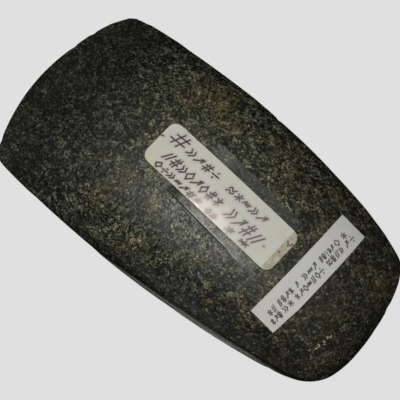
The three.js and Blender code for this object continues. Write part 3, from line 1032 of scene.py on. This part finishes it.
class AXE_OT_printed_label(bpy.types.Operator):
    """Makes the narrow paper label, cut by hand, with two rows of printed marks that aren't letters"""

    bl_idname = "axe.printed_label"
    bl_label = "Printed Label"
    bl_options = {"REGISTER", "UNDO"}

    def execute(self, context):
        looks = context.scene.paper_looks
        label = flat_grid("printed_label_paper", PRINTED_LENGTH, PRINTED_WIDTH, PRINTED_STEP)
        flat = cut_outline(label)
        paint(label.data, "ink", inked(flat, print_strokes(), PRINT_WIDTH))
        lay_sheet(label, flat, PRINTED_CENTRE, PRINTED_TURN, GLUE_THICKNESS, PAPER_THICKNESS)
        label.data.materials.append(printed_material(looks))
        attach(label, "root")
        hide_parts("printed_label")
        return {"FINISHED"}


# The glint's place on the tape, in shares of the tape's length.
GLINT_ALONG, GLINT_UP = 0.455, 0.069
FILM = (0.66, 0.67, 0.64, 1)
EDGE_SHADOW_BLACK = (0.004, 0.004, 0.004, 1)
FILM_SHADE_DARK = (0.02, 0.02, 0.018, 1)
FILM_SHADE_GREY = (0.085, 0.087, 0.083, 1)
GLINT = (0.95, 0.94, 0.92, 1)


def tape_material(looks):
    """Clear film: whitish streaks below the label, partly painted glare; painted shade above it; a painted
    shadow line at its edge.
    """
    material, graph, shader, _ = new_material("clear tape film")
    sheet, along, up = sheet_axes(graph)
    line = looks.edge / TAPE_LENGTH
    on_stone = graph.attribute("on_stone")
    lower = graph.ramp(up, 0.2, 0.18)

    streaks = graph.noise(graph.stretched(sheet, (1.0, 0.35, 1.0)), 0.03, 5.0, 0.68)
    # Painted reflection: below the label the film carries whitish streaks, partly its own cloudiness and
    # partly painted glare, kept to the stretch where the lamp's glare falls.
    middle = graph.times(graph.ramp(along, 0.36, 0.48), graph.ramp(along, 1.2, 0.6))
    milky_glare = graph.times(graph.ramp(streaks, 0.3, 0.75, 0.35, 1.7), on_stone)
    milky_glare = graph.times(milky_glare, graph.times(lower, middle))
    upper = graph.times(graph.math("SUBTRACT", 1.0, lower), on_stone, graph.ramp(along, 0.22, 0.5))
    haze_and_glare = graph.times(milky_glare, looks.haze_and_glare)

    broken = graph.ramp(graph.noise(sheet, 0.05, 3.0), 0.3, 0.5, 0.5, 1.0)
    ends = graph.times(graph.ramp(along, 0.2, 0.27), graph.ramp(along, 0.93, 0.75))
    # Painted shadow: a black line along the film's lower edge, and just inside it a thin pale painted
    # highlight.
    edge_shadow_line = graph.times(graph.ramp(up, line * 1.3, line * 0.9), ends)
    edge_highlight_line = graph.times(
        graph.ramp(up, line * 2.6, line * 2.0), graph.ramp(up, line, line * 1.5), ends, broken)

    colour = graph.mix(edge_shadow_line, FILM, EDGE_SHADOW_BLACK)
    alpha = graph.plus(haze_and_glare, graph.times(edge_shadow_line, 0.9))
    alpha = graph.math("ADD", alpha, graph.times(edge_highlight_line, 0.12), clamp=True)
    over_label = graph.math("SUBTRACT", 0.025, graph.times(on_stone, 0.01))
    # Painted shade: a near-black patch at the left of the film's lower strip, and a dark grey film over the
    # stone above the label, both darkening the stone beneath.
    film_shade = graph.times(graph.ramp(along, 0.44, 0.31), graph.ramp(along, 0.2, 0.26))
    film_shade = graph.times(film_shade, graph.times(lower, on_stone))
    colour = graph.mix(film_shade, colour, FILM_SHADE_DARK)
    colour = graph.mix(upper, colour, FILM_SHADE_GREY)
    film_shade = graph.most(film_shade, upper)
    alpha = graph.most(alpha, graph.times(film_shade, 0.38))
    sideways = graph.math("ABSOLUTE", graph.math("SUBTRACT", along, GLINT_ALONG))
    upward = graph.math("ABSOLUTE", graph.math("SUBTRACT", up, GLINT_UP))
    glint = graph.times(graph.ramp(sideways, 0.055, 0.0), graph.ramp(upward, 0.016, 0.0))
    colour = graph.mix(glint, colour, GLINT)
    alpha = graph.most(alpha, graph.times(glint, 0.75))
    alpha = graph.times(graph.most(alpha, over_label), graph.attribute("top"))
    graph.feed(shader.inputs["Base Color"], colour)
    graph.feed(shader.inputs["Alpha"], alpha)
    rough = graph.most(graph.ramp(streaks, 0.3, 0.7, 0.28, 0.45), edge_shadow_line)
    rough = graph.most(rough, graph.ramp(film_shade, 0.0, 0.1))
    graph.feed(shader.inputs["Roughness"], rough)
    wrinkle = graph.noise(graph.stretched(sheet, (1.0, 0.4, 1.0)), 0.03, 3.0)
    graph.feed(shader.inputs["Normal"], graph.bump(wrinkle, 0.3, 0.05 * MM))
    return material


class AXE_OT_tape(bpy.types.Operator):
    """Makes the clear tape that holds the written label down"""

    bl_idname = "axe.tape"
    bl_label = "Clear Tape"
    bl_options = {"REGISTER", "UNDO"}

    def execute(self, context):
        tape = flat_grid("clear_tape_film", TAPE_LENGTH, TAPE_WIDTH, TAPE_STEP)
        own = points_of(tape.data)[:, :2] * (TAPE_LENGTH, TAPE_WIDTH)
        cos, sin = math.cos(TAPE_TURN), math.sin(TAPE_TURN)
        flat = own @ np.array([[cos, sin], [-sin, cos]]) + (TAPE_ALONG, TAPE_ASIDE)
        past = np.abs(flat[:, 1]) - WRITTEN_WIDTH / 2
        over = 1 - smoothstep(0.1 * MM, TAPE_TENT, past)
        lift = GLUE_THICKNESS + over * (PAPER_THICKNESS + GLUE_THICKNESS)
        paint(tape.data, "on_stone", smoothstep(0, 0.15 * MM, past))
        lay_sheet(tape, flat, WRITTEN_CENTRE, WRITTEN_TURN, lift, TAPE_THICKNESS, pattern=own)
        paint(tape.data, "top", normals_of(tape.data)[:, 2] > 0)
        tape.data.materials.append(tape_material(context.scene.tape_looks))
        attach(tape, "root")
        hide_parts("clear_tape")
        return {"FINISHED"}


def camera_axes():
    """The camera's right, up and backward directions."""
    back = Vector((math.tan(CAMERA_TILT_ASIDE), -math.tan(CAMERA_TILT_BACK), 1)).normalized()
    right = Vector((math.cos(CAMERA_ROLL), math.sin(CAMERA_ROLL), 0))
    right = (right - right.dot(back) * back).normalized()
    return right, back.cross(right), back


def soft_light(name, place, target, size, power, colour, up):
    """A round lamp that shines from its place to a target."""
    bpy.ops.object.light_add(type="AREA", location=place)
    lamp = bpy.context.object
    lamp.name = name
    lamp.data.shape = "DISK"
    lamp.data.size = size
    lamp.data.energy = power
    lamp.data.color = colour
    back = (place - target).normalized()
    right = up.cross(back).normalized()
    lamp.matrix_world = Matrix.Translation(place) @ Matrix(
        (right, back.cross(right), back)).transposed().to_4x4()


class AXE_OT_stage(bpy.types.Operator):
    """Makes the pale floor, the soft lights and the camera"""

    bl_idname = "axe.stage"
    bl_label = "Stage"
    bl_options = {"REGISTER", "UNDO"}

    def execute(self, context):
        looks = context.scene.stage_looks
        scene = context.scene
        scene.view_settings.view_transform = "Standard"
        scene.view_settings.look = "None"
        deselect()
        bpy.ops.mesh.primitive_circle_add(vertices=96, radius=FLOOR_RADIUS, fill_type="NGON")
        floor = context.object
        floor.name = floor.data.name = "floor"
        material, graph, shader, _ = new_material("pale floor")
        seen = graph.add("ShaderNodeLightPath").outputs["Is Camera Ray"]
        shader.inputs["Base Color"].default_value = (0.01, 0.01, 0.01, 1)
        shader.inputs["Roughness"].default_value = 1
        shader.inputs["Specular IOR Level"].default_value = 0
        shader.inputs["Emission Color"].default_value = WHITE
        graph.feed(shader.inputs["Emission Strength"], graph.times(seen, looks.floor_glow))
        floor.data.materials.append(material)

        right, up, back = camera_axes()
        aim = Vector((0, 0, CAMERA_AIM_HEIGHT)) + right * AIM_RIGHT + up * AIM_UP
        bpy.ops.object.camera_add()
        camera = context.object
        camera.name = "camera"
        camera.data.sensor_width = SENSOR
        camera.data.lens = PIXELS_PER_METRE * CAMERA_DISTANCE * SENSOR / PICTURE_PIXELS
        camera.data.clip_start, camera.data.clip_end = 0.01, 10
        camera.matrix_world = Matrix.Translation(aim + back * CAMERA_DISTANCE) @ Matrix(
            (right, up, back)).transposed().to_4x4()
        scene.camera = camera

        key_place = LIT_PLACE + KEY_DIRECTION.normalized() * KEY_DISTANCE
        soft_light("key light", key_place, LIT_PLACE, KEY_SIZE, looks.key, looks.warmth, up)
        soft_light("fill light", FILL_PLACE, LIT_PLACE, FILL_SIZE, looks.fill, WHITE[:3], up)

        world = bpy.data.worlds.new("room")
        world.use_nodes = True
        background = world.node_tree.nodes["Background"]
        background.inputs["Color"].default_value = WHITE
        background.inputs["Strength"].default_value = looks.surround
        scene.world = world
        return {"FINISHED"}


class AXE_PT_panel(bpy.types.Panel):
    """The steps that dress the stone axe, and their settings."""

    bl_idname = "AXE_PT_panel"
    bl_label = "Stone Axe"
    bl_space_type = "VIEW_3D"
    bl_region_type = "UI"
    bl_category = "Stone Axe"

    def draw(self, context):
        for step in STEPS:
            self.layout.operator(step.bl_idname)
        for name, looks in LOOKS.items():
            box = self.layout.box()
            for setting in looks.__annotations__:
                box.prop(getattr(context.scene, name), setting)


STEPS = (AXE_OT_stone, AXE_OT_written_label, AXE_OT_tape, AXE_OT_printed_label, AXE_OT_stage)
CLASSES = (*LOOKS.values(), *STEPS, AXE_PT_panel)


def register():
    for cls in CLASSES:
        bpy.utils.register_class(cls)
    for name, looks in LOOKS.items():
        setattr(bpy.types.Scene, name, bpy.props.PointerProperty(type=looks))


def unregister():
    for name in LOOKS:
        delattr(bpy.types.Scene, name)
    for cls in reversed(CLASSES):
        bpy.utils.unregister_class(cls)


def main():
    register()
    grain_group()
    soil_group()
    bpy.ops.axe.stone()
    bpy.ops.axe.written_label()
    bpy.ops.axe.tape()
    bpy.ops.axe.printed_label()
    bpy.ops.axe.stage()


if __name__ == "__main__":
    main()
